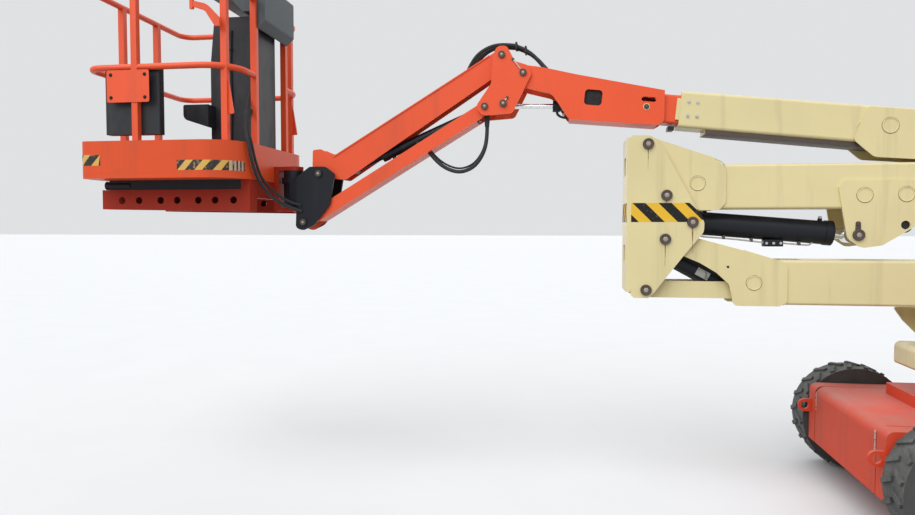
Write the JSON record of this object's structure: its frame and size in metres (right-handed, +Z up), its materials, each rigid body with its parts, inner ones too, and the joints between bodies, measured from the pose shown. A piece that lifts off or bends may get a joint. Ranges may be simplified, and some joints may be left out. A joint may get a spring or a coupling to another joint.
{
  "type": "articulating boom lift",
  "caption": "Wheeled work platform on an articulating boom: swinging turntable, folding tower of two linked arms, telescopic boom and parallelogram jib.",
  "frame": {"origin": "on the ground, at the centre of the footprint of the whole machine as it is parked", "axes": "+Z up, +X along the machine from the platform to the steered wheels, +Y to the machine's other side"},
  "size_m": [7.2469, 1.762, 3.2384],
  "materials": {
    "black_paint": "satin",
    "black_plastic": "matte",
    "cast": "rough",
    "chassis_paint": "dusty satin",
    "console_grey": "matte",
    "cream_paint": "satin",
    "orange_paint": "satin",
    "rim_paint": "satin",
    "rod_chrome": "polished",
    "tread": "dusty"
  },
  "bodies": {
    "chassis": {"chassis": "chassis_paint", "drive_axle": "black_paint", "steer_axle": "cast", "slew_ring": "black_paint"},
    "drive_wheel_near": {"drive_tyre_near": "tread", "drive_rim_near": "rim_paint"},
    "steer_knuckle_near": {"steer_knuckle_near": "cast"},
    "steer_wheel_near": {"steer_tyre_near": "tread", "steer_rim_near": "rim_paint"},
    "drive_wheel_far": {"drive_tyre_far": "tread", "drive_rim_far": "rim_paint"},
    "steer_knuckle_far": {"steer_knuckle_far": "cast"},
    "steer_wheel_far": {"steer_tyre_far": "tread", "steer_rim_far": "rim_paint"},
    "turntable": {"turntable": "cream_paint", "hood_floor_near": "cream_paint", "hood_floor_far": "cream_paint", "counterweight": "cast"},
    "hood_near": {"hood_near": "chassis_paint"},
    "hood_far": {"hood_far": "chassis_paint"},
    "lower_arm": {"lower_arm": "cream_paint"},
    "lower_link": {"lower_link": "cream_paint"},
    "front_upright": {"front_upright": "cream_paint"},
    "upper_arm": {"upper_arm": "cream_paint"},
    "upper_link": {"upper_link": "cream_paint"},
    "rear_upright": {"rear_upright": "cream_paint"},
    "main_boom": {"main_boom": "cream_paint"},
    "fly_boom": {"fly_boom": "orange_paint"},
    "elbow": {"elbow": "orange_paint"},
    "jib_upper_link": {"jib_upper_link": "orange_paint"},
    "jib_lower_link": {"jib_lower_link": "orange_paint"},
    "jib_head": {"jib_head": "black_paint"},
    "platform": {"platform_floor": "orange_paint", "toe_board": "orange_paint", "platform_rails": "orange_paint", "platform_support": "orange_paint", "floor_bearers": "black_paint", "rail_plate": "orange_paint", "gate_latch": "console_grey", "document_box": "black_plastic", "console_stand": "black_plastic", "control_console": "console_grey"},
    "lower_lift_barrel": {"lower_lift_barrel": "black_paint"},
    "lower_lift_rod": {"lower_lift_rod": "rod_chrome"},
    "upper_lift_barrel": {"upper_lift_barrel": "black_paint"},
    "upper_lift_rod": {"upper_lift_rod": "rod_chrome"},
    "main_lift_barrel": {"main_lift_barrel": "black_paint"},
    "main_lift_rod": {"main_lift_rod": "rod_chrome"},
    "level_barrel": {"level_barrel": "black_paint"},
    "level_rod": {"level_rod": "rod_chrome"},
    "jib_lift_barrel": {"jib_lift_barrel": "black_paint"},
    "jib_lift_rod": {"jib_lift_rod": "rod_chrome"}
  },
  "joints": [
    {"name": "drive_wheel_near_spin", "type": "hinge", "parent": "chassis", "child": "drive_wheel_near", "pos_m": [1.24566, -0.755, 0.3555], "axis": [0, 1, 0], "continuous": true},
    {"name": "steer_near", "type": "hinge", "parent": "chassis", "child": "steer_knuckle_near", "pos_m": [3.25566, -0.6, 0.3555], "axis": [0, 0, 1], "range_deg": [-40, 40]},
    {"name": "steer_wheel_near_spin", "type": "hinge", "parent": "steer_knuckle_near", "child": "steer_wheel_near", "pos_m": [3.25566, -0.755, 0.3555], "axis": [0, 1, 0], "continuous": true},
    {"name": "drive_wheel_far_spin", "type": "hinge", "parent": "chassis", "child": "drive_wheel_far", "pos_m": [1.24566, 0.755, 0.3555], "axis": [0, 1, 0], "continuous": true},
    {"name": "steer_far", "type": "hinge", "parent": "chassis", "child": "steer_knuckle_far", "pos_m": [3.25566, 0.6, 0.3555], "axis": [0, 0, 1], "range_deg": [-40, 40]},
    {"name": "steer_wheel_far_spin", "type": "hinge", "parent": "steer_knuckle_far", "child": "steer_wheel_far", "pos_m": [3.25566, 0.755, 0.3555], "axis": [0, 1, 0], "continuous": true},
    {"name": "turntable_swing", "type": "hinge", "parent": "chassis", "child": "turntable", "pos_m": [2.24566, 0, 0.81], "axis": [0, 0, 1], "range_deg": [-177, 177]},
    {"name": "hood_near_lift", "type": "hinge", "parent": "turntable", "child": "hood_near", "pos_m": [0, -0.371, 1.409], "axis": [-1, 0, 0], "range_deg": [0, 75]},
    {"name": "hood_far_lift", "type": "hinge", "parent": "turntable", "child": "hood_far", "pos_m": [0, 0.371, 1.409], "axis": [1, 0, 0], "range_deg": [0, 75]},
    {"name": "tower_lift", "type": "hinge", "parent": "turntable", "child": "lower_arm", "pos_m": [1.97066, 0, 1.588], "axis": [0, 1, 0], "range_deg": [0, 70]},
    {"name": "lower_link_swing", "type": "hinge", "parent": "turntable", "child": "lower_link", "pos_m": [1.86166, 0, 1.284], "axis": [0, 1, 0], "range_deg": [0, 70]},
    {"name": "front_upright_level", "type": "hinge", "parent": "lower_arm", "child": "front_upright", "pos_m": [-0.12934, 0, 1.588], "axis": [0, 1, 0], "range_deg": [-70, 0]},
    {"name": "upper_arm_lift", "type": "hinge", "parent": "front_upright", "child": "upper_arm", "pos_m": [-0.23334, 0, 2.151], "axis": [0, -1, 0], "range_deg": [0, 70]},
    {"name": "upper_link_swing", "type": "hinge", "parent": "front_upright", "child": "upper_link", "pos_m": [-0.12434, 0, 1.847], "axis": [0, -1, 0], "range_deg": [0, 70]},
    {"name": "rear_upright_level", "type": "hinge", "parent": "upper_arm", "child": "rear_upright", "pos_m": [2.36666, 0, 2.151], "axis": [0, -1, 0], "range_deg": [-70, 0]},
    {"name": "main_lift", "type": "hinge", "parent": "rear_upright", "child": "main_boom", "pos_m": [2.54566, 0, 2.09], "axis": [0, 1, 0], "range_deg": [0, 70]},
    {"name": "telescope", "type": "slide", "parent": "main_boom", "child": "fly_boom", "axis": [-0.9945, 0, 0.1045], "range_m": [0, 1.5]},
    {"name": "elbow_level", "type": "hinge", "parent": "fly_boom", "child": "elbow", "pos_m": [-0.97722, 0, 2.60104], "axis": [0, 1, 0], "range_deg": [-70, 0]},
    {"name": "jib_lift", "type": "hinge", "parent": "elbow", "child": "jib_upper_link", "pos_m": [-1.10822, 0, 2.71404], "axis": [0, 1, 0], "range_deg": [-17, 101]},
    {"name": "jib_lower_swing", "type": "hinge", "parent": "elbow", "child": "jib_lower_link", "pos_m": [-1.21322, 0, 2.40204], "axis": [0, 1, 0], "range_deg": [-17, 101]},
    {"name": "jib_head_level", "type": "hinge", "parent": "jib_upper_link", "child": "jib_head", "pos_m": [-2.28816, 0, 2.00226], "axis": [0, 1, 0], "range_deg": [-101, 17]},
    {"name": "platform_rotate", "type": "hinge", "parent": "jib_head", "child": "platform", "pos_m": [-2.49316, 0, 2.00226], "axis": [0, 0, 1], "range_deg": [-90, 90]},
    {"name": "lower_lift_barrel_swing", "type": "hinge", "parent": "front_upright", "child": "lower_lift_barrel", "pos_m": [-0.10934, 0, 1.495], "axis": [0, 1, 0], "range_deg": [0, 59.02]},
    {"name": "lower_lift_rod_slide", "type": "slide", "parent": "lower_lift_barrel", "child": "lower_lift_rod", "axis": [0.8764, 0, -0.4816], "range_m": [0, 0.255]},
    {"name": "upper_lift_barrel_swing", "type": "hinge", "parent": "front_upright", "child": "upper_lift_barrel", "pos_m": [0.02566, 0, 1.688], "axis": [0, 1, 0], "range_deg": [-69.53, 0]},
    {"name": "upper_lift_rod_slide", "type": "slide", "parent": "upper_lift_barrel", "child": "upper_lift_rod", "axis": [0.9968, 0, -0.0798], "range_m": [0, 0.609]},
    {"name": "main_lift_barrel_swing", "type": "hinge", "parent": "rear_upright", "child": "main_lift_barrel", "pos_m": [2.49566, 0, 1.49], "axis": [0, 1, 0], "range_deg": [0, 42.95]},
    {"name": "main_lift_rod_slide", "type": "slide", "parent": "main_lift_barrel", "child": "main_lift_rod", "axis": [-0.8265, 0, 0.5629], "range_m": [0, 0.448]},
    {"name": "level_barrel_swing", "type": "hinge", "parent": "fly_boom", "child": "level_barrel", "pos_m": [-0.41414, 0, 2.40008], "axis": [0, 1, 0], "range_deg": [0, 1.81]},
    {"name": "level_rod_slide", "type": "slide", "parent": "level_barrel", "child": "level_rod", "axis": [-0.9997, 0, 0.0248], "range_m": [-0.253, 0]},
    {"name": "jib_lift_barrel_swing", "type": "hinge", "parent": "elbow", "child": "jib_lift_barrel", "pos_m": [-1.21322, 0, 2.40204], "axis": [0, 1, 0], "range_deg": [-16.49, 97.93]},
    {"name": "jib_lift_rod_slide", "type": "slide", "parent": "jib_lift_barrel", "child": "jib_lift_rod", "axis": [-0.9193, 0, -0.3935], "range_m": [-0.085, 0.505]}
  ],
  "couplings": [
    {"joint": "steer_far", "follows": "steer_near", "ratio": 1},
    {"joint": "lower_link_swing", "follows": "tower_lift", "ratio": 1},
    {"joint": "front_upright_level", "follows": "tower_lift", "ratio": -1},
    {"joint": "upper_arm_lift", "follows": "tower_lift", "ratio": 1},
    {"joint": "upper_link_swing", "follows": "tower_lift", "ratio": 1},
    {"joint": "rear_upright_level", "follows": "tower_lift", "ratio": -1},
    {"joint": "elbow_level", "follows": "main_lift", "ratio": -1},
    {"joint": "jib_lower_swing", "follows": "jib_lift", "ratio": 1},
    {"joint": "jib_head_level", "follows": "jib_lift", "ratio": -1},
    {"joint": "lower_lift_barrel_swing", "follows": "tower_lift", "ratio": 0.843},
    {"joint": "lower_lift_rod_slide", "follows": "tower_lift", "m_per_rad": 0.20813},
    {"joint": "upper_lift_barrel_swing", "follows": "tower_lift", "ratio": -0.99321},
    {"joint": "upper_lift_rod_slide", "follows": "tower_lift", "m_per_rad": 0.49807},
    {"joint": "main_lift_barrel_swing", "follows": "main_lift", "ratio": 0.61347},
    {"joint": "main_lift_rod_slide", "follows": "main_lift", "m_per_rad": 0.36621},
    {"joint": "level_barrel_swing", "follows": "main_lift", "ratio": 0.025798},
    {"joint": "level_rod_slide", "follows": "main_lift", "m_per_rad": -0.2063},
    {"joint": "jib_lift_barrel_swing", "follows": "jib_lift", "ratio": 0.9696},
    {"joint": "jib_lift_rod_slide", "follows": "jib_lift", "m_per_rad": 0.28603}
  ]
}
